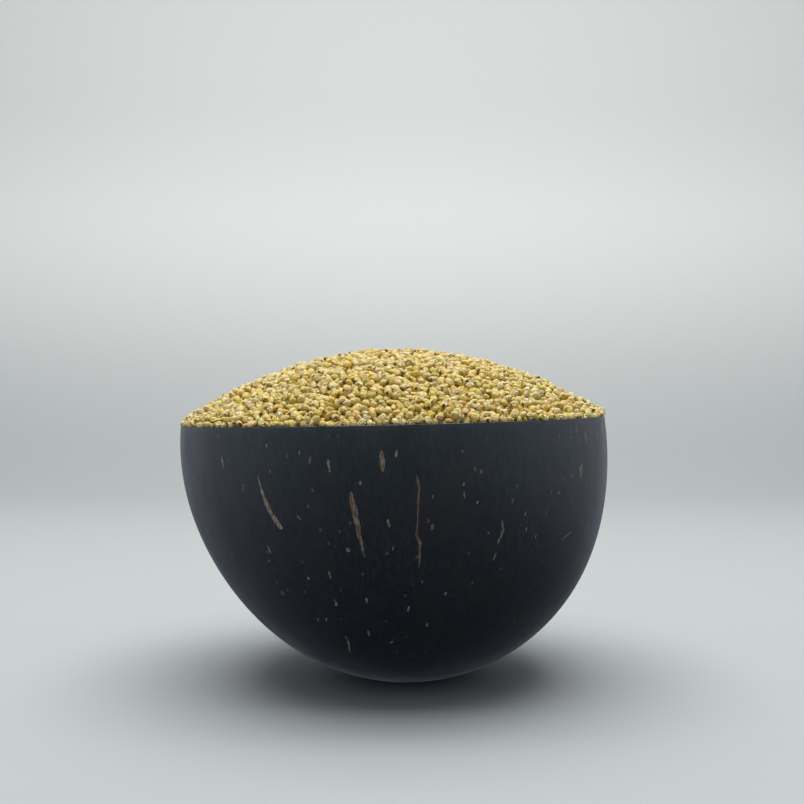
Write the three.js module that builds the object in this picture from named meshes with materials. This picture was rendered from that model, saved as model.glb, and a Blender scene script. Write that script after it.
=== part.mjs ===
// A half coconut-shell bowl heaped with foxtail millet, in millimetres with +Z up.
// The origin is the middle of the small flat spot that the bowl rests on.
// Seen from the front, along +Y, the rim is a little higher on the right, at +X.
import * as THREE from "three";

// The shell's outside, by its distance from the shell's middle
const SHELL_RADIUS = 54.8; // on the shell's waist
const SHELL_STRETCH = 0.088; // part of the radius added at its two ends
const SHELL_LEAN = 0.034; // how far the long axis leans, towards -X at the top
const SHELL_BULGE = 0.031; // how much fuller it is above and below its waist, at +X
const SHELL_CORNER = 0.054; // the part of that which is only at the far ends of X
const SHELL_MIDDLE = new THREE.Vector3(-3.1, 0, 58.4);

// The cut that makes the shell a bowl
const RIM_HEIGHT = 65.8; // above the origin
const RIM_SLOPE = 0.023; // rise for each millimetre towards +X
const RIM_EDGE = 0.5; // width of the sanded edges beside the lip
const WALL_AT_RIM = 3.6;
const WALL_AT_BASE = 4.8;

// The heap of millet
const HEAP_PEAK = 18.5; // above the rim
const HEAP_TOP_X = -4; // the heap's top is a little left of the middle
const HEAP_FULLNESS = 1.95; // 2 makes the heap a parabola, and 1 a cone
const GRAIN = 1.9; // one grain's width, which is the heap's height at its edge
const HEAP_SETBACK = 0.3; // from the outside of the shell to the grains on its lip
const GRAIN_GAP = 0.3; // between the millet and the shell

// The uneven top of the heap, as waves that cross each other, from broad swells to grains
const WAVE_COUNT = 16;
const WAVE_DEPTH = 0.12;
const LONGEST_WAVE = 24;
const SHORTEST_WAVE = 2 * GRAIN;
const GOLDEN_ANGLE = Math.PI * (3 - Math.sqrt(5));

// How finely the round surfaces are faceted
const SEGMENTS = 84;
const OUTSIDE_RINGS = 12;
const INSIDE_RINGS = 9;
const MILLET_UNDER_RINGS = 7;
const MILLET_TOP_RINGS = 22;
const INNERMOST = Math.PI / (2 * SEGMENTS); // polar angle of the smallest ring inside

const SHELL_MATERIAL = new THREE.MeshStandardMaterial({
  name: "polished black coconut shell",
  color: 0x25282c,
  roughness: 0.38,
  metalness: 0,
});
const MILLET_MATERIAL = new THREE.MeshStandardMaterial({
  name: "foxtail millet",
  color: 0xd2bb7b,
  roughness: 0.6,
  metalness: 0,
});

/** The way out from the shell's middle, with the polar angle measured from straight down. */
function direction(polar, azimuth) {
  return new THREE.Vector3(
    Math.sin(polar) * Math.cos(azimuth),
    Math.sin(polar) * Math.sin(azimuth),
    -Math.cos(polar),
  );
}

/** The point of the shell's outside that lies this way, or this deep within its wall. */
function shellPoint(way, depth) {
  const stretch = SHELL_STRETCH * way.z * way.z;
  const lean = SHELL_LEAN * way.x * way.z;
  const bulge = (SHELL_BULGE + SHELL_CORNER * way.x * way.x) * way.x * way.z * way.z;
  const radius = SHELL_RADIUS * (1 + stretch - lean + bulge) - depth;
  return way.clone().multiplyScalar(radius).add(SHELL_MIDDLE);
}

/** The wall is thickest at the bottom and thins evenly up to the shell's waist. */
function wallAt(way) {
  return THREE.MathUtils.lerp(WALL_AT_RIM, WALL_AT_BASE, Math.max(0, -way.z));
}

/** The inner side of the wall. */
function insidePoint(polar, azimuth) {
  const way = direction(polar, azimuth);
  return shellPoint(way, wallAt(way));
}

/** The underside of the millet, just clear of the wall. */
function milletDepthAt(way) {
  return wallAt(way) + GRAIN_GAP;
}

function rimHeightAt(x) {
  return RIM_HEIGHT + RIM_SLOPE * x;
}

/** The polar angle above which isAbove holds, found by halving. */
function polarWhere(isAbove) {
  let low = 0;
  let high = Math.PI * 0.75;
  for (let halving = 0; halving < 40; halving += 1) {
    const middle = (low + high) / 2;
    if (isAbove(middle)) {
      high = middle;
    } else {
      low = middle;
    }
  }
  return high;
}

/** Where the shell's outside leaves the plane that the bowl rests on. */
function restPolar(azimuth) {
  return polarWhere((polar) => shellPoint(direction(polar, azimuth), 0).z >= 0);
}

/** Where the shell, this deep within its wall, comes up to this far below the rim's plane. */
function rimPolar(azimuth, depthAt, below) {
  return polarWhere((polar) => {
    const way = direction(polar, azimuth);
    const point = shellPoint(way, depthAt(way));
    return point.z >= rimHeightAt(point.x) - below;
  });
}

/** One ring of points, one for each segment. */
function ring(pointAt) {
  return Array.from({ length: SEGMENTS }, (_, segment) => {
    return pointAt((segment / SEGMENTS) * 2 * Math.PI);
  });
}

/** A ring beside the rim, this deep within the wall and this far below the rim's plane. */
function rimRing(depthAt, below) {
  return ring((azimuth) => {
    const way = direction(rimPolar(azimuth, depthAt, below), azimuth);
    return shellPoint(way, depthAt(way));
  });
}

/** Rings from one polar angle to another at each azimuth, both ends included. */
function ringsBetween(count, polarFrom, polarTo, pointAt) {
  return Array.from({ length: count + 1 }, (_, step) => {
    return ring((azimuth) => {
      const polar = THREE.MathUtils.lerp(polarFrom(azimuth), polarTo(azimuth), step / count);
      return pointAt(polar, azimuth);
    });
  });
}

/** A closed surface from a first point, through rings one after the other, to a last point. */
function closedSurface(first, rings, last) {
  const points = [first, ...rings.flat(), last];
  const lastRing = 1 + (rings.length - 1) * SEGMENTS;
  const lastPoint = points.length - 1;
  const indices = [];
  for (let segment = 0; segment < SEGMENTS; segment += 1) {
    const next = (segment + 1) % SEGMENTS;
    indices.push(0, 1 + next, 1 + segment);
    for (let below = 1; below < lastRing; below += SEGMENTS) {
      const above = below + SEGMENTS;
      indices.push(below + segment, below + next, above + next);
      indices.push(below + segment, above + next, above + segment);
    }
    indices.push(lastRing + segment, lastRing + next, lastPoint);
  }
  const geometry = new THREE.BufferGeometry().setFromPoints(points);
  geometry.setIndex(indices);
  geometry.computeVertexNormals();
  return geometry;
}

function buildShell() {
  const rest = new THREE.Vector3(0, 0, 0);
  const outside = ringsBetween(
    OUTSIDE_RINGS,
    restPolar,
    (azimuth) => rimPolar(azimuth, () => 0, RIM_EDGE),
    (polar, azimuth) => shellPoint(direction(polar, azimuth), 0),
  );
  const lip = [
    rimRing(() => RIM_EDGE, 0),
    rimRing((way) => wallAt(way) - RIM_EDGE, 0),
  ];
  const inside = ringsBetween(
    INSIDE_RINGS,
    (azimuth) => rimPolar(azimuth, wallAt, RIM_EDGE),
    () => INNERMOST,
    insidePoint,
  );
  return closedSurface(rest, [...outside, ...lip, ...inside], insidePoint(0, 0));
}

/** How far the heap's top lies above or below its even dome here. */
function unevenness(x, y) {
  let rise = 0;
  for (let wave = 0; wave < WAVE_COUNT; wave += 1) {
    const shortness = wave / (WAVE_COUNT - 1);
    const length = LONGEST_WAVE * (SHORTEST_WAVE / LONGEST_WAVE) ** shortness;
    const angle = wave * GOLDEN_ANGLE;
    const along = x * Math.cos(angle) + y * Math.sin(angle);
    rise += WAVE_DEPTH * Math.sin((2 * Math.PI * along) / length + wave * wave);
  }
  return rise;
}

/** A point of the heap's top, at 1 on this point of its edge and at 0 on its peak. */
function heapPoint(edgePoint, outward) {
  const x = THREE.MathUtils.lerp(HEAP_TOP_X, edgePoint.x, outward);
  const y = edgePoint.y * outward;
  const dome = (HEAP_PEAK - GRAIN) * (1 - outward ** HEAP_FULLNESS);
  return new THREE.Vector3(x, y, rimHeightAt(x) + GRAIN + dome + unevenness(x, y));
}

function buildHeap() {
  const down = direction(0, 0);
  const bottom = shellPoint(down, milletDepthAt(down));
  const under = ringsBetween(
    MILLET_UNDER_RINGS,
    () => INNERMOST,
    (azimuth) => rimPolar(azimuth, milletDepthAt, 0),
    (polar, azimuth) => {
      const way = direction(polar, azimuth);
      return shellPoint(way, milletDepthAt(way));
    },
  );
  const roundedEdge = [
    rimRing(milletDepthAt, -GRAIN_GAP),
    rimRing(() => HEAP_SETBACK + GRAIN / 4, -GRAIN_GAP),
    rimRing(() => HEAP_SETBACK, -GRAIN / 2),
  ];
  const edge = rimRing(() => HEAP_SETBACK + GRAIN / 2, 0);
  const top = Array.from({ length: MILLET_TOP_RINGS }, (_, step) => {
    const outward = 1 - step / MILLET_TOP_RINGS;
    return edge.map((edgePoint) => heapPoint(edgePoint, outward));
  });
  return closedSurface(bottom, [...under, ...roundedEdge, ...top], heapPoint(edge[0], 0));
}

function named(name, geometry, material) {
  const mesh = new THREE.Mesh(geometry, material);
  mesh.name = name;
  return mesh;
}

const dish = new THREE.Group();
dish.add(named("coconut_bowl", buildShell(), SHELL_MATERIAL));
dish.add(named("millet_heap", buildHeap(), MILLET_MATERIAL));

export default dish;
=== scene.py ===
"""A half coconut-shell bowl heaped with foxtail millet."""

import math
from collections import namedtuple

import bpy
import numpy as np
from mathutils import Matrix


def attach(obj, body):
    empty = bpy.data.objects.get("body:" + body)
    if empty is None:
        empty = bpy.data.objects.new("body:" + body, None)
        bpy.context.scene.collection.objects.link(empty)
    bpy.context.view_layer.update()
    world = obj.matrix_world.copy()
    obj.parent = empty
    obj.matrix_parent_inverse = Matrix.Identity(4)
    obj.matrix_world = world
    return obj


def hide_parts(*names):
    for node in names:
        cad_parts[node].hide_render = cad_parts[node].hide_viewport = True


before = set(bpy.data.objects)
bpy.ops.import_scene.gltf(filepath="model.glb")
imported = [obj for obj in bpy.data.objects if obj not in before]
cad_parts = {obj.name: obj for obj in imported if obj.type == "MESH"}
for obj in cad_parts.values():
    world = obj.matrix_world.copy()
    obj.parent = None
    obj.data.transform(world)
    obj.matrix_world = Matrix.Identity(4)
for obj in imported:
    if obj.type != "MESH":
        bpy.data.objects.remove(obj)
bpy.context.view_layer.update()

# Sizes are in millimetres, as the object was measured, and become metres when a mesh is made.
MM = 0.001
UP = np.array([0.0, 0.0, 1.0])
GOLDEN_ANGLE = math.pi * (3 - math.sqrt(5))
SEED = 41

# The shell's outside, by its distance from the shell's middle
SHELL_RADIUS = 54.8
SHELL_STRETCH = 0.088
SHELL_LEAN = 0.034
SHELL_BULGE = 0.031
SHELL_CORNER = 0.054
SHELL_MIDDLE = np.array([-3.1, 0.0, 58.4])
RIM_HEIGHT = 65.8
RIM_SLOPE = 0.023
WALL_AT_RIM = 3.6
WALL_AT_BASE = 4.8
SHELL_SEGMENTS = 240
OUTSIDE_RINGS = 64
INSIDE_RINGS = 16
REST_RINGS = (0.5, 0.96)  # rings on the flat spot, as shares of its width
LIP_BELOW = 0.2  # how far the sanded lip is below the rim's plane
LIP_ROUND = 0.12  # the radius of its outer edge
LIP_FALL = 0.45  # how far the lip falls towards the inside, for each millimetre
LIP_STEPS = 4  # rings around its edge, and as many across it
CUT_FADE = (0.2, 0.5)  # how far below the lip the brown of the cut starts and ends fading
SMALLEST_POLAR = 0.01  # of the smallest ring inside
HALVINGS = 40
RIM_SAMPLES = 96

# The heap of millet, and the crossing waves that make its top uneven
GRAIN = 1.9
HEAP_PEAK = 18.5  # above the rim
HEAP_TOP_X = -4.0
HEAP_FULLNESS = 1.95  # 2 makes the heap a parabola, and 1 a cone
HEAP_SETBACK = 0.3  # from the outside of the shell to the heap's edge
WAVE_COUNT = 16
WAVE_DEPTH = 0.12
LONGEST_WAVE = 24.0
SHORTEST_WAVE = 2 * GRAIN


# ---------------------------------------------------------------- the shapes of shell and heap


def unit(vectors):
    return vectors / np.linalg.norm(vectors, axis=-1)[..., None]


def directions(polar, azimuth):
    """Ways out from the shell's middle, with the polar angle measured from straight down."""
    polar, azimuth = np.broadcast_arrays(polar, azimuth)
    flat = np.sin(polar)
    return np.stack([flat * np.cos(azimuth), flat * np.sin(azimuth), -np.cos(polar)], -1)


def shell_points(ways, depth):
    """The points of the shell's outside that lie these ways, or this deep within its wall."""
    stretch = SHELL_STRETCH * ways[..., 2] ** 2
    lean = SHELL_LEAN * ways[..., 0] * ways[..., 2]
    bulge = (SHELL_BULGE + SHELL_CORNER * ways[..., 0] ** 2) * ways[..., 0] * ways[..., 2] ** 2
    radius = SHELL_RADIUS * (1 + stretch - lean + bulge) - depth
    return SHELL_MIDDLE + ways * radius[..., None]


def level(depth):
    """The same depth within the wall all over."""
    return lambda ways: np.full(ways.shape[:-1], float(depth))


def wall_at(ways):
    """The wall is thickest at the bottom and thins evenly up to the shell's waist."""
    return WALL_AT_RIM + (WALL_AT_BASE - WALL_AT_RIM) * np.maximum(0, -ways[..., 2])


def rim_height_at(x):
    return RIM_HEIGHT + RIM_SLOPE * x


def polar_where(is_above, azimuth):
    """The polar angle at each azimuth above which is_above holds, found by halving."""
    low = np.zeros_like(azimuth)
    high = np.full_like(azimuth, math.pi * 0.75)
    for _ in range(HALVINGS):
        middle = (low + high) / 2
        above = is_above(middle)
        high = np.where(above, middle, high)
        low = np.where(above, low, middle)
    return high


def rim_polar(azimuth, depth_at, below):
    """Where the shell, this deep within its wall, comes up to this far below the rim's plane."""

    def is_above(polar):
        ways = directions(polar, azimuth)
        points = shell_points(ways, depth_at(ways))
        return points[..., 2] >= rim_height_at(points[..., 0]) - below

    return polar_where(is_above, azimuth)


def polar_at_height(azimuth, height):
    """Where the shell's outside comes up to this height."""
    return polar_where(
        lambda polar: shell_points(directions(polar, azimuth), 0.0)[..., 2] >= height, azimuth)


def rings_between(azimuth, count, polar_from, polar_to, depth_at):
    """Rings this deep within the wall, evenly from one polar angle to another, both included."""
    rows = []
    for step in range(count + 1):
        polar = polar_from + (polar_to - polar_from) * step / count
        ways = directions(polar, azimuth)
        rows.append(shell_points(ways, depth_at(ways)))
    return rows


def rim_ring(azimuth, depth_at, below):
    """The ring where the shell, this deep within its wall, is this far below the rim's plane."""
    ways = directions(rim_polar(azimuth, depth_at, below), azimuth)
    return shell_points(ways, depth_at(ways))


def rim_circle(setback):
    """The middle and radius of the rim's outline, which is a circle to within 0.1 mm."""
    azimuth = np.linspace(0, 2 * math.pi, RIM_SAMPLES, endpoint=False)
    ring = rim_ring(azimuth, level(setback), 0)[:, :2]
    middle = (ring.max(0) + ring.min(0)) / 2
    return middle, np.linalg.norm(ring - middle, axis=1).mean()


def unevenness(x, y):
    """How far the heap's top lies above or below its even dome, in crossing waves."""
    rise = np.zeros_like(x)
    for wave in range(WAVE_COUNT):
        shortness = wave / (WAVE_COUNT - 1)
        length = LONGEST_WAVE * (SHORTEST_WAVE / LONGEST_WAVE) ** shortness
        angle = wave * GOLDEN_ANGLE
        along = x * math.cos(angle) + y * math.sin(angle)
        rise += WAVE_DEPTH * np.sin(2 * math.pi * along / length + wave * wave)
    return rise


HEAP_CIRCLE = rim_circle(HEAP_SETBACK + GRAIN / 2)


def heap_height(x, y):
    """The height of the heap's top surface above each point."""
    middle, radius = HEAP_CIRCLE
    from_peak = np.stack([x - HEAP_TOP_X, y], -1)
    to_middle = np.array([HEAP_TOP_X, 0.0]) - middle
    # outward is 0 on the peak and 1 on the circle: |to_middle + from_peak / outward| = radius
    square = (from_peak**2).sum(-1)
    along = (from_peak * to_middle).sum(-1)
    spare = radius**2 - (to_middle**2).sum()
    outward = (along + np.sqrt(along**2 + square * spare)) / spare
    dome = (HEAP_PEAK - GRAIN) * (1 - np.minimum(outward, 1.1) ** HEAP_FULLNESS)
    return rim_height_at(x) + GRAIN + dome + unevenness(x, y)


# ---------------------------------------------------------------- meshes


def make_piece(name, points, faces, material, corners=None, values=None):
    """A smooth piece from points in millimetres, with its bake map and its points' values."""
    mesh = bpy.data.meshes.new(name)
    mesh.from_pydata((points * MM).tolist(), [], faces)
    mesh.shade_smooth()
    mesh.materials.append(material)
    if corners is not None:
        layer = mesh.uv_layers.new(name="OFBake")
        layer.uv.foreach_set("vector", corners.astype(np.float32).ravel())
    for value_name, value in (values or {}).items():
        kind = "FLOAT_VECTOR" if value.ndim == 2 else "FLOAT"
        field = "vector" if value.ndim == 2 else "value"
        layer = mesh.attributes.new(value_name, kind, "POINT")
        layer.data.foreach_set(field, value.astype(np.float32).ravel())
    piece = bpy.data.objects.new(name, mesh)
    bpy.context.scene.collection.objects.link(piece)
    return piece


def ring_faces(ring_count, segments):
    """The faces of a closed surface: a first point, rings of points, and a last point."""
    last = 1 + ring_count * segments
    ring = np.arange(segments)
    after = (ring + 1) % segments
    fans = [[0, 1 + b, 1 + a] for a, b in zip(ring, after)]
    for row in range(ring_count - 1):
        low = 1 + row * segments
        high = low + segments
        fans += np.stack([low + ring, low + after, high + after, high + ring], 1).tolist()
    top = last - segments
    return fans + [[top + a, top + b, last] for a, b in zip(ring, after)]


def strip_faces(rows, columns):
    """The faces of an open strip, for points given row by row."""
    grid = np.arange(rows * columns).reshape(rows, columns)
    quads = np.stack([grid[:-1, :-1], grid[:-1, 1:], grid[1:, 1:], grid[1:, :-1]], -1)
    return quads.reshape(-1, 4).tolist()


# ---------------------------------------------------------------- material nodes


def add(tree, kind, inputs=None, **settings):
    """Adds a node. An input is given a value, or linked if it is given a socket."""
    made = tree.nodes.new("ShaderNode" + kind)
    for name, value in settings.items():
        setattr(made, name, value)
    for key, value in (inputs or {}).items():
        if isinstance(value, bpy.types.NodeSocket):
            tree.links.new(value, made.inputs[key])
        else:
            made.inputs[key].default_value = value
    return made


def new_material(name):
    """A material with its tree, its surface shader and its object coordinates in millimetres."""
    material = bpy.data.materials.new(name)
    material.use_nodes = True
    tree = material.node_tree
    place = add(tree, "TexCoord").outputs["Object"]
    place = add(tree, "VectorMath", {0: place, "Scale": 1 / MM}, operation="SCALE").outputs[0]
    return material, tree, tree.nodes["Principled BSDF"], place


def math_node(tree, operation, first, second=0.0):
    return add(tree, "Math", {0: first, 1: second}, operation=operation).outputs[0]


def ramp(tree, value, low, high, start=0.0, end=1.0):
    """start where value is low, end where it is high, and a smooth change between."""
    inputs = {"Value": value, "From Min": low, "From Max": high, "To Min": start, "To Max": end}
    return add(tree, "MapRange", inputs, interpolation_type="SMOOTHSTEP").outputs[0]


def blend(tree, share, first, second, blend_type="MIX"):
    """One colour where share is 0 and another where it is 1."""
    made = add(tree, "Mix", data_type="RGBA", blend_type=blend_type)
    for key, value in ((0, share), (6, first), (7, second)):
        if isinstance(value, bpy.types.NodeSocket):
            tree.links.new(value, made.inputs[key])
        elif key:
            made.inputs[key].default_value = (*value, 1.0)
        else:
            made.inputs[key].default_value = value
    return made.outputs[2]


def noise(tree, place, scale, detail=2.0, stretch=(1, 1, 1)):
    """Noise whose blotches are about 1 / scale millimetres across."""
    at = add(tree, "VectorMath", {0: place, 1: stretch}, operation="MULTIPLY").outputs[0]
    return add(tree, "TexNoise", {"Vector": at, "Scale": scale, "Detail": detail})


# ---------------------------------------------------------------- the coconut shell

# Fibres that show in the shell's front. Each has its dullness, from 0 to 1, and a line of points
# given by azimuth in degrees from the front, towards +X, height, and the fibre's width there.
LONG_FIBRES = [
    (0.0, [(-32.9, 54.4, 0.15), (-32.2, 52.3, 0.45), (-31.6, 50.2, 1.0), (-30.9, 48.2, 1.4),
           (-29.8, 46, 1.25), (-28.6, 44.3, 1.3), (-27.8, 43.2, 1.5), (-27.2, 42.5, 0.9)]),
    (0.6, [(-9.3, 51.5, 0.3), (-9.1, 49.8, 1.3), (-8.8, 48, 1.6), (-8.3, 46, 1.5),
           (-8, 44.3, 1.4), (-7.8, 42.5, 1.15), (-7.4, 40.5, 0.9), (-7, 38.6, 0.6),
           (-6.6, 36.9, 0.2)]),
    (1.0, [(5.3, 55, 0.25), (5.7, 53.6, 0.75), (6, 52, 0.45), (5.8, 49.4, 0.65),
           (5.8, 47.4, 0.5), (5.8, 45.3, 0.22), (5.7, 43.7, 0.45), (5.6, 42, 0.7),
           (6.4, 40.4, 0.85), (6.5, 38.4, 0.75), (6.5, 36.2, 0.55), (6.4, 34.4, 0.2)]),
    (0.4, [(26.2, 44.9, 0.3), (26.9, 42.6, 0.65), (26.5, 41, 0.6), (25.8, 39.4, 0.3)]),
    (0.4, [(46.9, 38.6, 0.15), (48.7, 39.6, 0.3), (51.2, 40.6, 0.15)]),
    (0.4, [(-16, 17.6, 0.2), (-15.4, 16, 0.6), (-16.1, 14, 0.6), (-16.9, 12.4, 0.2)]),
    (0.0, [(69.5, 65.3, 0.5), (68.5, 63, 1.7), (67.5, 60, 0.9)]),
]
# Short ones, which are oval: azimuth, height, length, width, and tilt in degrees
SHORT_FIBRES = [
    (-2.2, 57.9, 5.0, 1.35, 3), (0.9, 59.5, 1.8, 0.6, -8), (-44.5, 56.8, 3.1, 0.7, 14),
    (-14.2, 56.8, 3.2, 0.75, 10), (-18.7, 57.9, 1.9, 0.6, -10), (-21.3, 59.4, 1.2, 0.35, 0),
    (-30, 60.8, 1.1, 0.5, 0), (-37.6, 51.4, 2.0, 0.5, -12), (-7.1, 53.2, 1.1, 0.75, 0),
    (-22.2, 45.4, 1.5, 0.6, 50), (-0.8, 44.6, 2.3, 0.6, 16), (0.2, 39.2, 1.5, 0.4, -12),
    (9.2, 43.7, 1.6, 0.75, -5), (-10.6, 38.6, 1.3, 0.9, 0), (-32.5, 37.6, 2.4, 0.6, 14),
    (-33.6, 34.8, 0.9, 0.5, -20), (-16.1, 32.7, 2.2, 0.6, 6), (-22.4, 31.5, 0.9, 0.6, 0),
    (-32.6, 27.3, 1.5, 0.5, 25), (-15.9, 25.8, 1.3, 0.7, -20), (-7, 27, 1.4, 0.6, 10),
    (4.4, 25, 1.7, 0.6, -5), (10.2, 20.9, 1.5, 0.5, 0), (-7.6, 18.4, 1.7, 0.6, 16),
    (-23.5, 21.2, 1.2, 0.6, 0), (-20.5, 21.5, 1.2, 0.5, -30), (-0.4, 16.2, 1.4, 0.7, -60),
    (25.7, 36.6, 2.2, 0.6, -14), (52.3, 54.5, 3.9, 1.3, 0), (50.6, 64.2, 2.1, 0.7, -6),
    (55.2, 62.0, 2.8, 1.2, 12), (63, 62.8, 2.8, 0.7, -4), (43.3, 62.6, 1.6, 0.4, 0),
    (20.3, 55.4, 1.1, 0.5, 0), (16.2, 52.8, 0.8, 0.4, 0), (16.4, 50.5, 1.7, 0.4, 10),
    (19.6, 48.8, 0.9, 0.5, 0), (28.8, 48.9, 1.3, 0.5, -12), (9.1, 50.3, 1.0, 0.4, 0),
    (43.2, 50, 0.9, 0.5, 0), (32.7, 45.8, 1.2, 0.4, 0), (33.6, 42.3, 1.2, 0.4, 0),
    (23, 42.1, 0.7, 0.5, 0), (15.8, 59.8, 0.7, 0.4, 0), (-12, 63.2, 0.8, 0.3, 0),
    (37, 40.5, 1.1, 0.4, -10), (7.5, 31.5, 0.8, 0.6, 0), (14, 28.5, 1.0, 0.5, 0),
]
# Fibres on the sides and back, which the photograph doesn't show
HIDDEN_FIBRES = 70
HIDDEN_AZIMUTHS = (72, 302)
HIDDEN_HEIGHTS = (8, 62)
LONG_EVERY = 7  # every seventh of them is a long one
LONG_HEIGHTS = (22, 60)
LONG_STEPS = 8
OVAL_STEPS = 7
# The strips: their columns' places across them, and how far each column stands out
FIBRE_STEP = 0.3
FEWEST_STEPS = 7
FIBRE_ACROSS = np.array([-1, -0.72, -0.36, 0, 0.36, 0.72, 1])
FIBRE_RISE = np.array([-0.03, 0.012, 0.03, 0.022, 0.032, 0.012, -0.03])
FULL_RISE_WIDTH = 0.5  # narrower fibres stand out less
FRAYING = 0.2
FRAYS = [1.7, 4.1, 7.3]  # radians for each millimetre along the fibre's edge
MAP_GAP = 0.35  # between the fibres in the bake map
MAP_SLACK = 1.12


def oval_fibre(azimuth, height, length, width, tilt):
    """The line of a short fibre, which tapers to both ends."""
    line = []
    sideways = length * math.sin(math.radians(tilt))
    upwards = length * math.cos(math.radians(tilt))
    for step in range(OVAL_STEPS):
        along = (step + 0.15) / (OVAL_STEPS - 0.7) - 0.5
        across = math.degrees(sideways * along / SHELL_RADIUS)
        taper = math.sqrt(max(0, 1 - 4 * along * along))
        line.append((azimuth + across, height - upwards * along, width * taper))
    return line


def short_hidden_fibre(rng, azimuth, height):
    length = rng.uniform(0.8, 3.2)
    width = rng.uniform(0.3, 0.45) + 0.12 * length
    return oval_fibre(azimuth, height, length, width, rng.normal(0, 12))


def long_hidden_fibre(rng, azimuth, height):
    """The line of a long fibre, which leans and wavers a little."""
    length = rng.uniform(7, 19)
    lowest, highest = LONG_HEIGHTS
    height = min(max(height, lowest + length / 2), highest - length / 2)
    lean = rng.normal(0, 0.12)
    widest = rng.uniform(0.7, 1.4)
    line = []
    for step in range(LONG_STEPS + 1):
        along = step / LONG_STEPS
        width = widest * math.sin(math.pi * (0.06 + 0.9 * along)) * rng.uniform(0.65, 1.1)
        across = math.degrees(length * (along - 0.5) * lean / SHELL_RADIUS)
        line.append((azimuth + across + rng.normal(0, 0.15), height - length * (along - 0.5),
                     max(0.15, width)))
    return line


def all_fibres(rng):
    """Dullness and line of the fibres in front, and of scattered ones on the rest of the shell."""
    lines = LONG_FIBRES + [(rng.uniform(0, 0.6), oval_fibre(*fibre)) for fibre in SHORT_FIBRES]
    for number in range(HIDDEN_FIBRES):
        azimuth = rng.uniform(*HIDDEN_AZIMUTHS)
        height = rng.uniform(*HIDDEN_HEIGHTS)
        hidden_fibre = short_hidden_fibre if number % LONG_EVERY else long_hidden_fibre
        line = hidden_fibre(rng, azimuth, height)
        lines.append((rng.uniform(), line))
    return lines


def shell_spots(around, height):
    """The ways out to spots of the shell's outside, given by angle from the front and height."""
    azimuth = around - math.pi / 2
    return directions(polar_at_height(azimuth, height), azimuth)


def waist_at(height):
    """The shell's radius around its upright axis, at this height."""
    up = (height - SHELL_MIDDLE[2]) / (SHELL_RADIUS * (1 + SHELL_STRETCH))
    return SHELL_RADIUS * np.sqrt(np.maximum(0.05, 1 - up * up))


def fibre_strip(rng, line):
    """A fibre's points in rows across it, its greatest half width, and each row's place along."""
    azimuth, height, width = np.array(line).T
    waist = waist_at(height)
    flat = np.stack([np.radians(azimuth) * waist, height], 1)
    along = np.concatenate([[0], np.linalg.norm(np.diff(flat, axis=0), axis=1)]).cumsum()
    count = max(FEWEST_STEPS, int(along[-1] / FIBRE_STEP))
    at = np.linspace(0, along[-1], count)
    middle = np.stack([np.interp(at, along, flat[:, 0]), np.interp(at, along, flat[:, 1])], 1)
    half = np.interp(at, along, width) / 2
    waist = np.interp(at, along, waist)
    heading = unit(np.gradient(middle, axis=0))
    sideways = np.stack([-heading[:, 1], heading[:, 0]], 1)
    phases = rng.uniform(0, 2 * math.pi, (2, len(FRAYS)))
    left, right = [1 + FRAYING * np.sin(np.outer(at, FRAYS) + phase).sum(1) / 1.7
                   for phase in phases]
    edge = np.where(FIBRE_ACROSS[None] < 0, left[:, None], right[:, None])
    offset = half[:, None] * FIBRE_ACROSS[None] * edge
    spread = middle[:, None] + sideways[:, None] * offset[..., None]
    ways = shell_spots(spread[..., 0] / waist[:, None], spread[..., 1])
    thin = np.minimum(1, 2 * half / FULL_RISE_WIDTH)[:, None]
    rise = np.where(FIBRE_RISE > 0, FIBRE_RISE * thin, FIBRE_RISE)
    rise[0] = rise[-1] = FIBRE_RISE[0]
    return shell_points(ways, -rise), half.max(), at


def fibre_corners(cells, sizes):
    """The bake map: the fibres stand in rows, the longest first, at their true proportions."""
    sheet = MAP_SLACK * math.sqrt(sum(wide * tall for wide, tall in sizes))
    placed = list(cells)
    left = low = row = 0.0
    for number in sorted(range(len(sizes)), key=lambda n: -sizes[n][1]):
        wide, tall = sizes[number]
        if left + wide > sheet or not row:
            left, low, row = 0.0, low + row, tall
        placed[number] = cells[number] + [left + MAP_GAP / 2, low + MAP_GAP / 2]
        left += wide
    return np.concatenate(placed) / max(sheet, low + row)


def build_fibres():
    """Fibres worn flush with the shell, as thin strips that stand a hair proud of it."""
    rng = np.random.default_rng(SEED)
    points, faces, across, dull, cells, sizes = [], [], [], [], [], []
    columns = len(FIBRE_ACROSS)
    start = 0
    for dullness, line in all_fibres(rng):
        strip, half, at = fibre_strip(rng, line)
        points.append(strip.reshape(-1, 3))
        faces += [[start + corner for corner in face] for face in strip_faces(len(at), columns)]
        across.append(np.tile(abs(FIBRE_ACROSS), len(at)))
        dull.append(np.full(len(at) * columns, dullness))
        cell = np.stack(np.broadcast_arrays(half * FIBRE_ACROSS[None], at[:, None]), -1)
        cells.append(cell.reshape(-1, 2) + [half, 0])
        sizes.append((2 * half + MAP_GAP, at[-1] + MAP_GAP))
        start += len(at) * columns
    corners = fibre_corners(cells, sizes)[np.array(faces).ravel()]
    values = {"across": np.concatenate(across), "dull": np.concatenate(dull)}
    fibres = make_piece("shell_fibres", np.concatenate(points), faces, fibre_material(),
                        corners, values)
    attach(fibres, "root")
    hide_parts("coconut_bowl")


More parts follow.
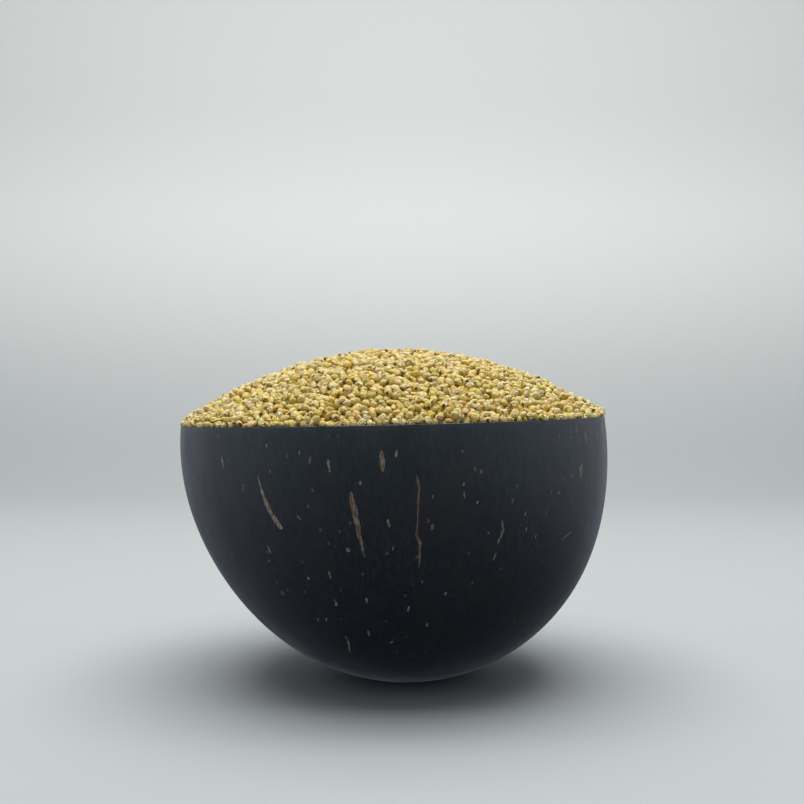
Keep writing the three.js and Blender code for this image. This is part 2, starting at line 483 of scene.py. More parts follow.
def fibre_material():
    material, tree, shader, place = new_material("coconut_fibre")
    across = add(tree, "Attribute", attribute_name="across").outputs["Fac"]
    dullness = add(tree, "Attribute", attribute_name="dull").outputs["Fac"]
    strands = noise(tree, place, 3.0, 4.0, (1, 1, 0.16)).outputs["Fac"]
    blotches = noise(tree, place, 0.9, 3.0).outputs["Fac"]
    colour = blend(tree, ramp(tree, strands, 0.35, 0.68), (0.137, 0.098, 0.069),
                   (0.35, 0.285, 0.222))
    colour = blend(tree, ramp(tree, blotches, 0.5, 0.7, 0, 0.6), colour, (0.15, 0.085, 0.048))
    dull = blend(tree, dullness, colour, (0.56, 0.50, 0.45), "MULTIPLY")
    frayed = math_node(tree, "ADD", across, math_node(tree, "MULTIPLY", blotches, 0.5))
    colour = blend(tree, ramp(tree, frayed, 0.9, 1.3), dull, (0.028, 0.017, 0.012))
    tree.links.new(colour, shader.inputs["Base Color"])
    shader.inputs["Roughness"].default_value = 0.6
    shader.inputs["Specular IOR Level"].default_value = 0.3
    bump = add(tree, "Bump", {"Height": strands, "Strength": 0.5, "Distance": 0.05 * MM})
    tree.links.new(bump.outputs[0], shader.inputs["Normal"])
    return material


def shell_material():
    material, tree, shader, place = new_material("polished_coconut_shell")

    # Small flecks all over, and finer reddish specks
    flecks = []
    for scale, size in ((0.35, 0.11), (0.8, 0.15)):
        flat = add(tree, "VectorMath", {0: place, 1: (1, 1, 0.6)}, operation="MULTIPLY").outputs[0]
        cells = add(tree, "TexVoronoi", {"Vector": flat, "Scale": scale})
        spread = math_node(tree, "MULTIPLY", cells.outputs["Distance"], 1 / size)
        flecks.append(ramp(tree, spread, 1.2, 0.6))

    grain = noise(tree, place, 1.6, 4.0, (1, 1, 0.2)).outputs["Fac"]
    blotches = noise(tree, place, 0.06, 3.0).outputs["Fac"]
    colour = blend(tree, ramp(tree, grain, 0.4, 0.65), (0.0070, 0.0092, 0.0122),
                   (0.0162, 0.0174, 0.0197))
    colour = blend(tree, ramp(tree, blotches, 0.5, 0.7, 0, 0.7), colour, (0.021, 0.0135, 0.012))
    colour = blend(tree, math_node(tree, "MULTIPLY", flecks[1], 0.5), colour,
                   (0.055, 0.030, 0.022))
    colour = blend(tree, math_node(tree, "MULTIPLY", flecks[0], 0.6), colour,
                   (0.12, 0.095, 0.075))

    # The shell is brown where it is cut, at the lip
    sides = add(tree, "SeparateXYZ", {0: place}).outputs
    rim = math_node(tree, "ADD", math_node(tree, "MULTIPLY", sides[0], RIM_SLOPE), RIM_HEIGHT)
    below = math_node(tree, "SUBTRACT", rim, sides[2])
    cut = ramp(tree, below, LIP_BELOW + CUT_FADE[1], LIP_BELOW + CUT_FADE[0])
    colour = blend(tree, cut, colour, (0.016, 0.010, 0.006))
    tree.links.new(colour, shader.inputs["Base Color"])

    smear = noise(tree, place, 0.12, 4.0, (1, 1, 0.4)).outputs["Fac"]
    roughness = ramp(tree, smear, 0.3, 0.7, 0.38, 0.48)
    tree.links.new(roughness, shader.inputs["Roughness"])
    shader.inputs["IOR"].default_value = 1.6
    shader.inputs["Specular IOR Level"].default_value = 0.8
    shader.inputs["Specular Tint"].default_value = (0.82, 0.94, 1.0, 1.0)
    shader.inputs["Sheen Weight"].default_value = 0.06
    shader.inputs["Sheen Roughness"].default_value = 0.4
    shader.inputs["Sheen Tint"].default_value = (0.8, 0.88, 1.0, 1.0)
    relief = math_node(tree, "SUBTRACT", math_node(tree, "MULTIPLY", grain, 0.5), flecks[0])
    bump = add(tree, "Bump", {"Height": relief, "Strength": 0.38, "Distance": 0.06 * MM})
    tree.links.new(bump.outputs[0], shader.inputs["Normal"])
    return material


def disc_corners(faces, spread, azimuths, middle, radius):
    """The bake map of faces around a pole, as a flat disc."""
    flat = np.array([vertex for face in faces for vertex in face])
    across = radius * spread[flat]
    return np.stack([middle[0] + across * np.cos(azimuths[flat]),
                     middle[1] + across * np.sin(azimuths[flat])], 1)


def shell_corners(rows, faces, azimuth, outer_rows):
    """The bake map: the outside is a large disc, and the inside a small one in a corner."""
    along = np.linalg.norm(np.diff([row[0] for row in rows], axis=0), axis=1)
    reach = np.concatenate([[0, np.linalg.norm(rows[0][0])], along]).cumsum()[1:]
    outer = reach / reach[outer_rows]
    inner = (reach[-1] - reach) / (reach[-1] - reach[outer_rows])
    around = np.concatenate([[0.0], np.tile(azimuth, len(rows)), [0.0]])
    outer_spread = np.concatenate([[0.0], np.repeat(outer, SHELL_SEGMENTS), [0.0]])
    inner_spread = np.concatenate([[0.0], np.repeat(inner, SHELL_SEGMENTS), [0.0]])
    split = SHELL_SEGMENTS * (outer_rows + 1)
    return np.concatenate([
        disc_corners(faces[:split], outer_spread, around, (0.5, 0.5), 0.495),
        disc_corners(faces[split:], inner_spread, around, (0.085, 0.085), 0.08),
    ])


def build_shell():
    azimuth = np.linspace(0, 2 * math.pi, SHELL_SEGMENTS, endpoint=False)

    # The flat spot that the bowl rests on, then the outside, the lip's edge, the lip and the inside
    rest = polar_at_height(azimuth, 0)
    rest_ring = shell_points(directions(rest, azimuth), 0.0)
    rows = [rest_ring * [share, share, 0] for share in REST_RINGS]
    edge = rim_polar(azimuth, level(0), LIP_BELOW + LIP_ROUND)
    rows += rings_between(azimuth, OUTSIDE_RINGS, rest, edge, level(0))
    for step in range(1, LIP_STEPS + 1):
        turn = math.pi / 2 * step / LIP_STEPS
        inward = LIP_ROUND * (1 - math.cos(turn))
        below = LIP_BELOW + LIP_ROUND * (1 - math.sin(turn))
        rows.append(rim_ring(azimuth, level(inward), below))
    outer_rows = len(rows)
    for step in range(1, LIP_STEPS + 1):
        from_edge = (WALL_AT_RIM - LIP_ROUND) * step / LIP_STEPS
        below = LIP_BELOW + LIP_FALL * from_edge
        rows.append(rim_ring(azimuth, level(LIP_ROUND + from_edge), below))
    inner_edge = rim_polar(azimuth, wall_at, below)
    rows += rings_between(azimuth, INSIDE_RINGS, inner_edge, SMALLEST_POLAR, wall_at)[1:]

    down = directions(0.0, 0.0)
    bottom = shell_points(down, wall_at(down))
    points = np.concatenate([[[0.0, 0.0, 0.0]], *rows, [bottom]])
    faces = ring_faces(len(rows), SHELL_SEGMENTS)
    corners = shell_corners(rows, faces, azimuth, outer_rows)
    shell = make_piece("coconut_shell", points, faces, shell_material(), corners)
    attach(shell, "root")
    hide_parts("coconut_bowl")


# ---------------------------------------------------------------- the millet

LAYER_DEPTH = 5.2  # how deep under the heap's top the grains are laid one by one
TOP_DEPTH = 2.2  # grains this deep or less are shaped finely
CORE_DEPTH = 4.0  # below this the core's relief stands for the grains
CORE_OVERLAP = 0.9  # how much less deep the grains may be that make the relief
FILL = 0.6  # share of the space that settled grains fill
START_INSIDE = 0.5  # how far inside the outline, and above the lip, the grains start
START_ABOVE = 0.4
SETTLING_STEPS = 420
FALLING_STEPS = 336
PAIRS_EVERY = 8  # steps between two searches for neighbours
PAIRS_MARGIN = 0.25  # how much nearer two grains may come between the searches
FALL = 0.02  # in each step
STIFFNESS = 0.42  # share of an overlap that each of two grains gives way by
SMALLEST_GRAIN, MEAN_GRAIN, LARGEST_GRAIN = 1.5, 1.85, 2.25
GRAIN_SPREAD = 0.15
OVERHANG = 0.12  # how far the outermost grains stand out over the shell
EDGE_GAP = 0.9  # the most that a grain keeps away from there
SLACK = 0.94  # grains touch over flats, so they settle a little closer than balls would

# The settled grains, and the pairs of them that are neighbours
Heap = namedtuple("Heap", "places radii first second")

# Widths of a grain for a mean radius of 1: across the germ's side, along it, and end to end.
# lumps is how uneven it is, angular how flat its facets, and germ how deep the germ's hollow.
GrainKind = namedtuple("GrainKind", "name share widths lumps angular germ tints")
CREAM = (0.75, 0.615, 0.25)
PALE = (0.79, 0.69, 0.375)
YELLOW = (0.75, 0.60, 0.155)
GOLDEN = (0.72, 0.54, 0.145)
BLUSH = (0.77, 0.59, 0.28)
GREY = (0.77, 0.685, 0.40)
TAN = (0.70, 0.52, 0.21)
KINDS = [
    GrainKind("millet_plump", 0.27, (0.96, 1.0, 1.04), 0.045, 0.9, 0.20, (CREAM, CREAM, PALE)),
    GrainKind("millet_flat", 0.26, (0.86, 1.04, 1.10), 0.05, 1.1, 0.28, (CREAM, PALE, BLUSH)),
    GrainKind("millet_yellow", 0.16, (0.93, 1.0, 1.07), 0.05, 0.9, 0.22, (YELLOW, CREAM, GOLDEN)),
    GrainKind("millet_long", 0.09, (0.82, 0.95, 1.28), 0.06, 1.1, 0.22, (CREAM, PALE, TAN)),
    GrainKind("millet_dull", 0.22, (0.88, 1.0, 1.12), 0.085, 1.3, 0.32, (GREY, BLUSH, CREAM)),
]
FINE_GRAIN = (14, 8)  # columns and rows
COARSE_GRAIN = (8, 5)
SHAPES_PER_KIND = 12
CROWDING_REACH = 1.5 * LARGEST_GRAIN
LYING = 0.6  # 1 turns the grains evenly, and 0 lays them all flat
DARK_SPOTS = 0.6  # share of the grains whose end has a dark spot
GERM_LOW = 0.25  # how far the germ's middle is from the grain's, towards the dark end
FACETS = 13
FACET_SHARPNESS = 12
LUMPS = 5
CELL_MARGIN = 0.05  # around each grain's cell in the bake map

# The core, which fills the bowl and the heap under the grains
CORE_SEGMENTS = 300
CORE_RINGS = 84
CORE_UNDER_RINGS = 5
CORE_UNDER_TOP = 1.0  # how far below the rim's plane the last of them is
CORE_GAP = 0.3  # between the core and the shell
CORE_FLAT = 12  # above the rim, the height of the flat that the relief stands on in the middle
CORE_TINT = (0.74, 0.56, 0.20)


def close_pairs(places, reach):
    """Pairs of places nearer than reach, found in a grid of cells that wide."""
    cells = np.floor((places - places.min(0)) / reach).astype(np.int64) + 1
    size = cells.max(0) + 2
    keys = (cells[:, 0] * size[1] + cells[:, 1]) * size[2] + cells[:, 2]
    order = np.argsort(keys, kind="stable")
    sorted_keys = keys[order]
    firsts, seconds = [], []
    steps = [(a, b, c) for a in (-1, 0, 1) for b in (-1, 0, 1) for c in (-1, 0, 1)]
    for a, b, c in steps[13:]:  # the other half of the steps gives the same pairs
        wanted = keys + (a * size[1] + b) * size[2] + c
        start = np.searchsorted(sorted_keys, wanted, "left")
        end = np.searchsorted(sorted_keys, wanted, "right")
        count = end - start
        first = np.repeat(np.arange(len(keys)), count)
        within = np.arange(count.sum()) - np.repeat(count.cumsum() - count, count)
        second = order[np.repeat(start, count) + within]
        keep = first < second if (a, b, c) == (0, 0, 0) else first != second
        firsts.append(first[keep])
        seconds.append(second[keep])
    first, second = np.concatenate(firsts), np.concatenate(seconds)
    near = ((places[first] - places[second]) ** 2).sum(1) < reach * reach
    return first[near], second[near]


def scatter_grains(rng, middle, radius):
    """Random places under the heap's top, as many as will fill the space."""
    mean_volume = math.pi / 6 * (MEAN_GRAIN * SLACK) ** 3
    wanted = int(math.pi * radius**2 * LAYER_DEPTH * FILL / mean_volume)
    spots = rng.uniform(-radius, radius, (2 * wanted, 2))
    spots = spots[np.linalg.norm(spots, axis=1) < radius - START_INSIDE] + middle
    deep = rng.uniform(0, LAYER_DEPTH, len(spots))
    top = heap_height(spots[:, 0], spots[:, 1])
    above_lip = top - deep > rim_height_at(spots[:, 0]) + START_ABOVE
    share = 2 / math.pi  # because the circle holds pi / 2 times the wanted spots
    keep = above_lip & (rng.uniform(size=len(spots)) < share)
    return np.column_stack([spots, top - deep])[keep]


def push_apart(places, balls, first, second):
    """Moves balls that overlap away from each other."""
    apart = places[first] - places[second]
    distance = np.maximum(np.linalg.norm(apart, axis=1), 1e-6)
    overlap = balls[first] + balls[second] - distance
    touching = overlap > 0
    a, b = first[touching], second[touching]
    push = apart[touching] * (STIFFNESS * overlap[touching] / distance[touching])[:, None]
    for axis in range(3):
        places[:, axis] += np.bincount(a, push[:, axis], len(places))
        places[:, axis] -= np.bincount(b, push[:, axis], len(places))


def settle_grains(rng):
    """The places and radii of grains that have settled against each other under the heap's top."""
    middle, radius = rim_circle(-OVERHANG)
    places = scatter_grains(rng, middle, radius)
    size = rng.normal(MEAN_GRAIN, GRAIN_SPREAD, len(places))
    radii = np.clip(size, SMALLEST_GRAIN, LARGEST_GRAIN) / 2
    balls = radii * SLACK
    sunk = rng.uniform(-0.1, 1.0, len(places)) ** 2  # how far each keeps below the top
    limit = radius - balls - EDGE_GAP * rng.uniform(size=len(places)) ** 1.5
    reach = LARGEST_GRAIN * SLACK + PAIRS_MARGIN
    for step in range(SETTLING_STEPS):
        if step % PAIRS_EVERY == 0:
            first, second = close_pairs(places, reach)
        push_apart(places, balls, first, second)
        if step < FALLING_STEPS:
            places[:, 2] -= FALL

        # Grains stay inside the outline, on the lip's slope, and under the heap's top
        from_middle = places[:, :2] - middle
        out = np.linalg.norm(from_middle, axis=1)
        pull = np.minimum(1, limit / np.maximum(out, 1e-6))
        places[:, :2] = middle + from_middle * pull[:, None]
        top = heap_height(places[:, 0], places[:, 1])
        lip = rim_height_at(places[:, 0]) - LIP_BELOW + balls
        lip -= LIP_FALL * np.clip(radius - out, 0, WALL_AT_RIM)
        floor = np.maximum(top - LAYER_DEPTH + balls, lip)
        ceiling = np.maximum(top - balls - sunk, lip)
        places[:, 2] = np.clip(places[:, 2], floor, ceiling)
    return places, radii


def turns(rng, count):
    """Random turns as matrices, with the long axis Z of most grains lying rather flat."""
    long_way = unit(rng.normal(size=(count, 3)) * (1, 1, LYING))
    side_way = unit(np.cross(long_way, rng.normal(size=(count, 3))))
    third_way = np.cross(long_way, side_way)
    return np.stack([side_way, third_way, long_way], 2)


def spiral_ways(count):
    """Ways spread evenly all round."""
    number = np.arange(count)
    polar = np.arccos(1 - 2 * (number + 0.5) / count)
    return directions(polar, number * GOLDEN_ANGLE)


def grain_shape(rng, kind, columns, rows):
    """One grain of mean radius 1 around its long axis Z, with its dark end at the bottom."""
    polar = np.linspace(0, math.pi, rows + 1)[1:-1]
    azimuth = np.linspace(0, 2 * math.pi, columns, endpoint=False)
    grid = directions(polar[:, None], azimuth[None, :]).reshape(-1, 3)
    ways = np.concatenate([[[0, 0, -1.0]], grid, [[0, 0, 1.0]]])
    facets = spiral_ways(FACETS) + rng.normal(0, 0.22, (FACETS, 3))
    facing = np.maximum(0, ways @ unit(facets).T / rng.uniform(0.84, 1.0, FACETS))
    size = (facing**FACET_SHARPNESS).sum(1) ** (-1 / FACET_SHARPNESS)
    size = 1 + kind.angular * (size / size.mean() - 1)
    for _ in range(LUMPS):
        way = rng.normal(size=3)
        way *= rng.uniform(1.8, 4.4) / np.linalg.norm(way)
        size += kind.lumps * np.sin(ways @ way + rng.uniform(0, 2 * math.pi))
    from_germ = (ways[:, 1] / 0.55) ** 2 + ((ways[:, 2] + GERM_LOW) / 0.85) ** 2
    hollow = np.exp(-from_germ) * (ways[:, 0] > 0)
    size -= kind.germ * rng.uniform(0.5, 1.3) * hollow
    size += 0.06 * np.exp(-((ways + UP) ** 2).sum(1) / 0.12)
    widths = np.array(kind.widths) * rng.uniform(0.95, 1.05, 3)
    return ways, ways * size[:, None] * widths / np.prod(widths) ** (1 / 3)


def grain_corners(columns, rows):
    """The bake map of one grain's faces in a unit cell, unrolled from end to end."""
    corners = []
    for column in range(columns):
        corners += [(column + 0.5, 0), (column + 1, 1), (column, 1)]
    for row in range(1, rows - 1):
        for column in range(columns):
            corners += [(column, row), (column + 1, row), (column + 1, row + 1), (column, row + 1)]
    for column in range(columns):
        corners += [(column, rows - 1), (column + 1, rows - 1), (column + 0.5, rows)]
    return np.array(corners) / (columns, rows)


def crowding(points, ways, grains, places, radii, first, second):
    """How closely its neighbours close in each point, which sets the painted shade between grains:
    0 in the open, and 1 where they touch.
    """
    closeness = np.zeros(points.shape[:2])
    row_of = np.full(len(places), -1)
    row_of[grains] = np.arange(len(grains))
    for one, other in ((first, second), (second, first)):
        chosen = row_of[one] >= 0
        rows, others = row_of[one[chosen]], other[chosen]
        order = np.argsort(rows, kind="stable")
        rows, others = rows[order], others[order]
        towards = places[others][:, None] - points[rows]
        distance = np.linalg.norm(towards, axis=2)
        facing = (towards * ways[rows]).sum(2) / distance
        part = (radii[others][:, None] / distance) ** 2 * np.clip(facing + 0.3, 0, None) / 1.3
        start = np.flatnonzero(np.diff(rows, prepend=-1))
        if len(start):
            closeness[rows[start]] += np.add.reduceat(part, start, axis=0)
    return closeness


def build_grains(rng, name, kind, grains, heap, fineness, material):
    """Grains of one kind as one piece, each with its own shape, turn, tint and map cell."""
    places, radii = heap.places[grains], heap.radii[grains]
    columns, rows = fineness
    shapes = [grain_shape(rng, kind, columns, rows) for _ in range(SHAPES_PER_KIND)]
    ways = np.stack([shape[0] for shape in shapes])
    points = np.stack([shape[1] for shape in shapes])
    count = len(places)
    chosen = rng.integers(0, SHAPES_PER_KIND, count)
    turn = turns(rng, count)
    placed = np.einsum("gij,gvj->gvi", turn, points[chosen]) * radii[:, None, None]
    placed += places[:, None, :]
    outward = np.einsum("gij,gvj->gvi", turn, ways[chosen])
    # How much painted shade each point gets from the grains around it
    painted_gap_shade = crowding(placed, outward, grains, *heap)

    tints = np.array(kind.tints)[rng.integers(0, len(kind.tints), count)]
    tints = tints * rng.normal(1, 0.04, (count, 1)) * rng.normal(1, 0.015, (count, 3))
    spotted = np.where(rng.uniform(size=count) < DARK_SPOTS, rng.uniform(0.5, 1, count), 0.1)
    corner_count = points.shape[1]
    values = {
        "tint": np.repeat(np.clip(tints, 0, 0.9), corner_count, 0),
        "spotted": np.repeat(spotted, corner_count),
        "painted_gap_shade": painted_gap_shade.ravel(),
        "local": ways[chosen].reshape(-1, 3),
    }
    one = ring_faces(rows - 1, columns)
    faces = []
    for grain in range(count):
        start = grain * corner_count
        faces += [[start + vertex for vertex in face] for face in one]
    across = math.ceil(math.sqrt(count))
    cell = np.stack([np.arange(count) % across, np.arange(count) // across], 1)
    base = CELL_MARGIN + (1 - 2 * CELL_MARGIN) * grain_corners(columns, rows)
    corners = ((cell[:, None, :] + base[None]) / across).reshape(-1, 2)
    piece = make_piece(name, placed.reshape(-1, 3), faces, material, corners, values)
    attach(piece, "root")
    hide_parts("millet_heap")


def millet_material():
    """Grains by their tint, spottedness, painted shade where neighbours crowd them, and the local
    way from the grain's middle.
    """
    material, tree, shader, place = new_material("millet_grain")
    painted_gap_shade = add(tree, "Attribute", attribute_name="painted_gap_shade").outputs["Fac"]
    tint = add(tree, "Attribute", attribute_name="tint").outputs["Vector"]
    spotted = add(tree, "Attribute", attribute_name="spotted").outputs["Fac"]
    local = add(tree, "Attribute", attribute_name="local").outputs["Vector"]
    mottle = noise(tree, place, 1.3, 3.0).outputs["Fac"]
    colour = blend(tree, ramp(tree, mottle, 0.3, 0.7), tint, (0.91, 0.84, 0.64), "MULTIPLY")
    wander = math_node(tree, "MULTIPLY", mottle, 0.35)
    stain = ramp(tree, noise(tree, place, 0.5, 2.0).outputs["Fac"], 0.58, 0.7, 0, 0.35)
    colour = blend(tree, stain, colour, (0.58, 0.43, 0.23))

    # The germ is a long pale oval in the side. Painted shade darkens the groove of its outline
    # brownish, and a painted highlight lightens the raised crest just outside it
    sides = add(tree, "SeparateXYZ", {0: local}).outputs
    oval = add(tree, "CombineXYZ", {
        0: math_node(tree, "DIVIDE", sides[1], 0.42),
        1: math_node(tree, "DIVIDE", math_node(tree, "ADD", sides[2], GERM_LOW), 0.72),
        2: math_node(tree, "MAXIMUM", 0.0, math_node(tree, "MULTIPLY", sides[0], -9.0)),
    }).outputs[0]
    from_germ = add(tree, "VectorMath", {0: oval}, operation="LENGTH").outputs["Value"]
    from_germ = math_node(tree, "ADD", from_germ, wander)
    inside = ramp(tree, from_germ, 1.12, 0.98)
    # The raised crest around the germ, painted pale as a highlight along it
    ridge_and_painted_highlight = math_node(tree, "MULTIPLY", ramp(tree, from_germ, 1.75, 1.45),
                      ramp(tree, from_germ, 1.25, 1.4))
    # Painted shade in the groove around the germ's outline
    line = math_node(tree, "MULTIPLY", ramp(tree, from_germ, 1.34, 1.16),
                     math_node(tree, "SUBTRACT", 1.0, inside))
    # Pale for the germ's own colour, and lighter on the crest as a painted highlight
    pale = math_node(tree, "ADD", math_node(tree, "MULTIPLY", inside, 0.4),
                     math_node(tree, "MULTIPLY", ridge_and_painted_highlight, 0.5))
    colour = blend(tree, pale, colour, (0.83, 0.75, 0.50))
    colour = blend(tree, math_node(tree, "MULTIPLY", line, 0.75), colour, (0.28, 0.14, 0.04))

    # The dark spot at the grain's end
    to_end = add(tree, "VectorMath", {0: local, 1: (0, 0, -1)}, operation="DISTANCE")
    from_end = math_node(tree, "ADD", to_end.outputs["Value"], wander)
    halo = math_node(tree, "MULTIPLY", ramp(tree, from_end, 0.85, 0.5, 0, 0.7), spotted)
    colour = blend(tree, halo, colour, (0.36, 0.20, 0.055))
    spot = math_node(tree, "MULTIPLY", ramp(tree, from_end, 0.58, 0.42), spotted)
    colour = blend(tree, spot, colour, (0.12, 0.05, 0.005))

    # Painted shade and painted bounced light: where neighbours close in, the gaps between the
    # grains are painted darker and yellower, as shade and light passed through the grains would
    # make them
    painted_gap_shade_mottled = math_node(tree, "ADD", painted_gap_shade, math_node(tree, "MULTIPLY", mottle, 0.25))
    colour = blend(tree, ramp(tree, painted_gap_shade_mottled, 0.2, 0.9), colour, (1.02, 0.995, 0.76), "MULTIPLY")
    colour = blend(tree, ramp(tree, painted_gap_shade_mottled, 0.7, 1.4), colour, (1.03, 0.95, 0.48), "MULTIPLY")
    tree.links.new(colour, shader.inputs["Base Color"])
    shader.inputs["Roughness"].default_value = 0.45
    shader.inputs["Specular IOR Level"].default_value = 0.22

    # Fine wrinkles, the germ's outline and the small pit of the spot
    skin = noise(tree, place, 1.5, 2.0).outputs["Fac"]
    fold = math_node(tree, "ABSOLUTE", math_node(tree, "SUBTRACT", skin, 0.5))
    pits = math_node(tree, "ADD", math_node(tree, "SUBTRACT", line, ridge_and_painted_highlight), spot)
    relief = math_node(tree, "SUBTRACT", math_node(tree, "MULTIPLY", fold, 4.0), pits)
    bump = add(tree, "Bump", {"Height": relief, "Strength": 1.0, "Distance": 0.24 * MM})
    tree.links.new(bump.outputs[0], shader.inputs["Normal"])
    return material


def core_relief(x, y, places, radii, floor):
    """The tops of the deep grains over each point, or the floor between them."""
    reach = LARGEST_GRAIN / 2
    spots = np.column_stack([x, y, np.zeros_like(x)])
    flat = np.column_stack([places[:, :2], np.zeros(len(places))])
    together = np.concatenate([spots, flat])
    first, second = close_pairs(together, reach)
    swap = first >= len(spots)
    spot, grain = np.where(swap, second, first), np.where(swap, first, second) - len(spots)
    both = (spot < len(spots)) & (grain >= 0)
    spot, grain = spot[both], grain[both]
    square = ((spots[spot, :2] - places[grain, :2]) ** 2).sum(1)
    inside = square < radii[grain] ** 2
    spot, grain, square = spot[inside], grain[inside], square[inside]
    height = floor.copy()
    np.maximum.at(height, spot, places[grain, 2] + np.sqrt(radii[grain] ** 2 - square))
    return height


def build_core(places, radii, deep, material):
    """The millet's core: it fills the bowl, and its top is the relief of the deeper grains."""
    azimuth = np.linspace(0, 2 * math.pi, CORE_SEGMENTS, endpoint=False)

    def under(ways):
        return wall_at(ways) + CORE_GAP

    polar_top = rim_polar(azimuth, under, CORE_UNDER_TOP)
    rows = rings_between(azimuth, CORE_UNDER_RINGS, SMALLEST_POLAR, polar_top, under)
    edge = rim_ring(azimuth, under, 0)
    middle = edge.mean(0)
    for step in range(CORE_RINGS):
        outward = math.sqrt(1 - step / CORE_RINGS)
        x, y = (middle + (edge - middle) * outward)[:, :2].T
        floor = np.minimum(heap_height(x, y) - CORE_DEPTH, rim_height_at(x) + CORE_FLAT)
        rows.append(np.column_stack([x, y, core_relief(x, y, places[deep], radii[deep], floor)]))
    down = directions(0.0, 0.0)
    bottom = shell_points(down, under(down))
    last = rows[-1].mean(0)
    points = np.concatenate([[bottom], *rows, [last]])
    faces = ring_faces(len(rows), CORE_SEGMENTS)
    values = {
        "tint": np.tile(CORE_TINT, (len(points), 1)),
        "spotted": np.zeros(len(points)),
        # The core's top gets half the painted shade of the gaps between grains
        "painted_gap_shade": np.full(len(points), 0.5),
        "local": np.tile(UP, (len(points), 1)),
    }
    core = make_piece("millet_core", points, faces, material, None, values)
    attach(core, "root")
    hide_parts("millet_heap")


def build_millet():
    rng = np.random.default_rng(SEED)
    places, radii = settle_grains(rng)
    depth = heap_height(places[:, 0], places[:, 1]) - places[:, 2]
    middle, radius = rim_circle(HEAP_SETBACK)
    edge = np.linalg.norm(places[:, :2] - middle, axis=1) > radius - 2 * GRAIN
    top = (depth < TOP_DEPTH) | edge
    deep = depth > CORE_DEPTH - CORE_OVERLAP
    low = ~top & (depth < CORE_DEPTH)
    material = millet_material()
    kind_of = rng.choice(len(KINDS), len(places), p=[kind.share for kind in KINDS])
    heap = Heap(places, radii, *close_pairs(places, CROWDING_REACH))
    for number, kind in enumerate(KINDS):
        grains = np.flatnonzero(top & (kind_of == number))
        build_grains(rng, kind.name, kind, grains, heap, FINE_GRAIN, material)
    build_grains(rng, "millet_lower", KINDS[0], np.flatnonzero(low), heap, COARSE_GRAIN, material)
    build_core(places, radii, deep, material)


# ---------------------------------------------------------------- the setting

CAMERA_PLACE = (-1.03, -280.0, 70.33)
CAMERA_LENS = 47.9
SENSOR = 36.0
STAGE_BACK = 900  # from the object to the wall behind it
STAGE_FRONT = 2500
STAGE_HALF_WIDTH = 3000
STAGE_BEND = 400  # the radius between the floor and the wall
STAGE_BEND_STEPS = 24
STAGE_TOP = 2200
PALE_HEIGHT = 300  # where the wall is as pale as it gets
PALE_DISTANCES = (750, 1400)  # where the floor starts to become pale, and where it is
SURROUND_RADIUS = 1500
SURROUND_COLUMNS = 96
SURROUND_RISE = 0.5  # so that its floor covers the stage's


def build_camera():
    data = bpy.data.cameras.new("camera")
    data.lens = CAMERA_LENS
    data.sensor_width = SENSOR
    data.clip_start = 0.01
    data.clip_end = 20
    camera = bpy.data.objects.new("camera", data)
    camera.location = [c * MM for c in CAMERA_PLACE]
    camera.rotation_euler = (math.pi / 2, 0, 0)
    bpy.context.scene.collection.objects.link(camera)
    bpy.context.scene.camera = camera


def stage_material():
    """Mid grey under the strong light around the object, and pale further out and up the walls."""
    material, tree, shader, place = new_material("pale_stage")
    height = add(tree, "SeparateXYZ", {0: place}).outputs[2]
    flat = add(tree, "VectorMath", {0: place, 1: (1, 1, 0)}, operation="MULTIPLY").outputs[0]
    away = add(tree, "VectorMath", {0: flat}, operation="LENGTH").outputs["Value"]
    paleness = math_node(tree, "MAXIMUM", ramp(tree, height, 0, PALE_HEIGHT),
                         ramp(tree, away, *PALE_DISTANCES))
    colour = blend(tree, paleness, (0.378, 0.398, 0.393), (0.755, 0.757, 0.735))
    tree.links.new(colour, shader.inputs["Base Color"])
    shader.inputs["Roughness"].default_value = 0.9
    shader.inputs["Specular IOR Level"].default_value = 0.1
    return material


def wall_profile(distance):
    """Distance and height from where the floor bends up to the top of the wall."""
    profile = [(distance - STAGE_BEND, 0.0)]
    for step in range(1, STAGE_BEND_STEPS + 1):
        turn = math.pi / 2 * step / STAGE_BEND_STEPS
        profile.append((distance - STAGE_BEND + STAGE_BEND * math.sin(turn),
                        STAGE_BEND * (1 - math.cos(turn))))
    return profile + [(distance, STAGE_TOP)]


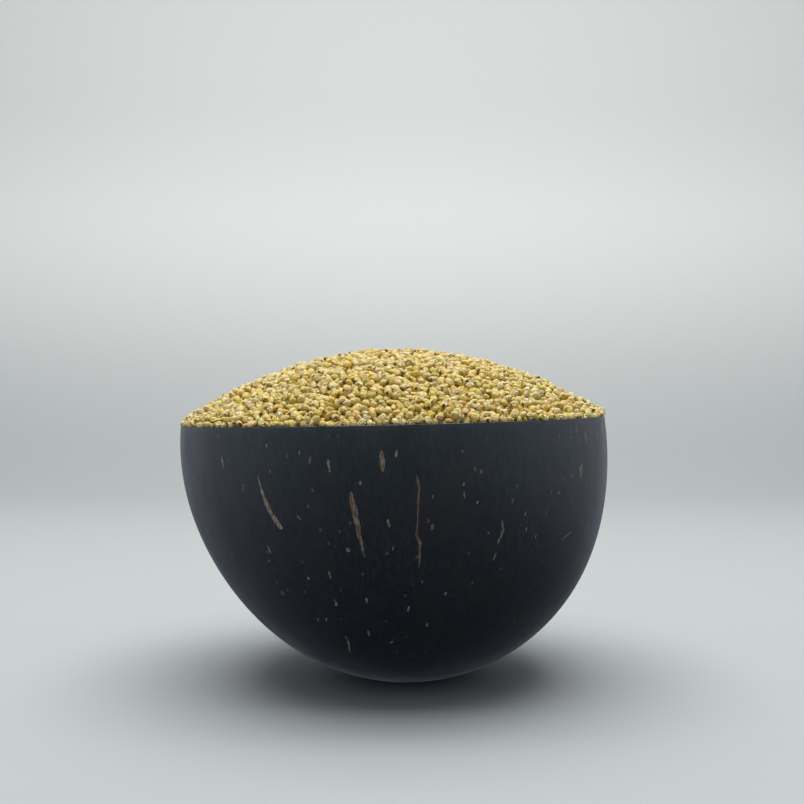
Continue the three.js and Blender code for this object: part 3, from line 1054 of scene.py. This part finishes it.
def build_stage():
    """A pale floor that curves up into a pale wall behind, and a round wall further out."""
    material = stage_material()
    profile = [(-STAGE_FRONT, 0.0)] + wall_profile(STAGE_BACK)
    ends = (-STAGE_HALF_WIDTH, STAGE_HALF_WIDTH)
    points = np.array([[x, y, z] for y, z in profile for x in ends])
    stage = make_piece("stage", points, strip_faces(len(profile), 2), material)
    stage.visible_glossy = False

    # The round wall only shows, and neither lights nor shades the object
    around = np.linspace(0, 2 * math.pi, SURROUND_COLUMNS)
    profile = wall_profile(SURROUND_RADIUS)
    points = np.array([
        [distance * math.cos(angle), distance * math.sin(angle), height + SURROUND_RISE]
        for distance, height in profile for angle in around])
    surround = make_piece("surround", points, strip_faces(len(profile), len(around)), material)
    surround.visible_diffuse = False
    surround.visible_glossy = False
    surround.visible_shadow = False


def add_light(name, place, aim, size, power):
    """A rectangle of light, placed, aimed and measured in metres."""
    data = bpy.data.lights.new(name, "AREA")
    data.shape = "RECTANGLE"
    data.size, data.size_y = size
    data.energy = power
    light = bpy.data.objects.new(name, data)
    light.location = place
    way = np.array(aim) - np.array(place)
    light.rotation_euler = (
        math.atan2(math.hypot(way[0], way[1]), -way[2]), 0, math.atan2(-way[0], way[1]))
    bpy.context.scene.collection.objects.link(light)


def build_lights():
    """A soft bluish world that is darker in front and below, and two lights above."""
    world = bpy.data.worlds.new("studio")
    world.use_nodes = True
    tree = world.node_tree
    way = add(tree, "TexCoord").outputs["Generated"]
    sides = add(tree, "SeparateXYZ", {0: way}).outputs
    front, above = ramp(tree, sides[1], 0.05, -1.15), ramp(tree, sides[2], 0.45, 0.9)
    below = ramp(tree, sides[2], 0.3, -1.0)
    colour = blend(tree, front, (1.09, 1.15, 1.29), (0.276, 0.340, 0.400))
    colour = blend(tree, above, colour, (1.10, 1.14, 1.18))
    colour = blend(tree, below, colour, (0.045, 0.05, 0.09))
    low_right = math_node(tree, "MULTIPLY", ramp(tree, sides[0], 0.2, 0.8),
                          ramp(tree, sides[2], -0.1, -0.6))
    colour = blend(tree, low_right, colour, (0.4, 0.4, 0.4), "MULTIPLY")
    background = tree.nodes["Background"]
    tree.links.new(colour, background.inputs["Color"])
    background.inputs["Strength"].default_value = 0.40
    bpy.context.scene.world = world
    add_light("overhead", (0.0, 0.0, 0.75), (0, 0, 0.05), (0.75, 0.75), 7.2)
    add_light("backdrop", (0.0, 0.1, 1.3), (0, 0.9, 0.5), (1.6, 0.4), 8.0)


build_camera()
build_shell()
build_fibres()
build_millet()
build_stage()
build_lights()
bpy.context.scene.view_settings.view_transform = "Standard"
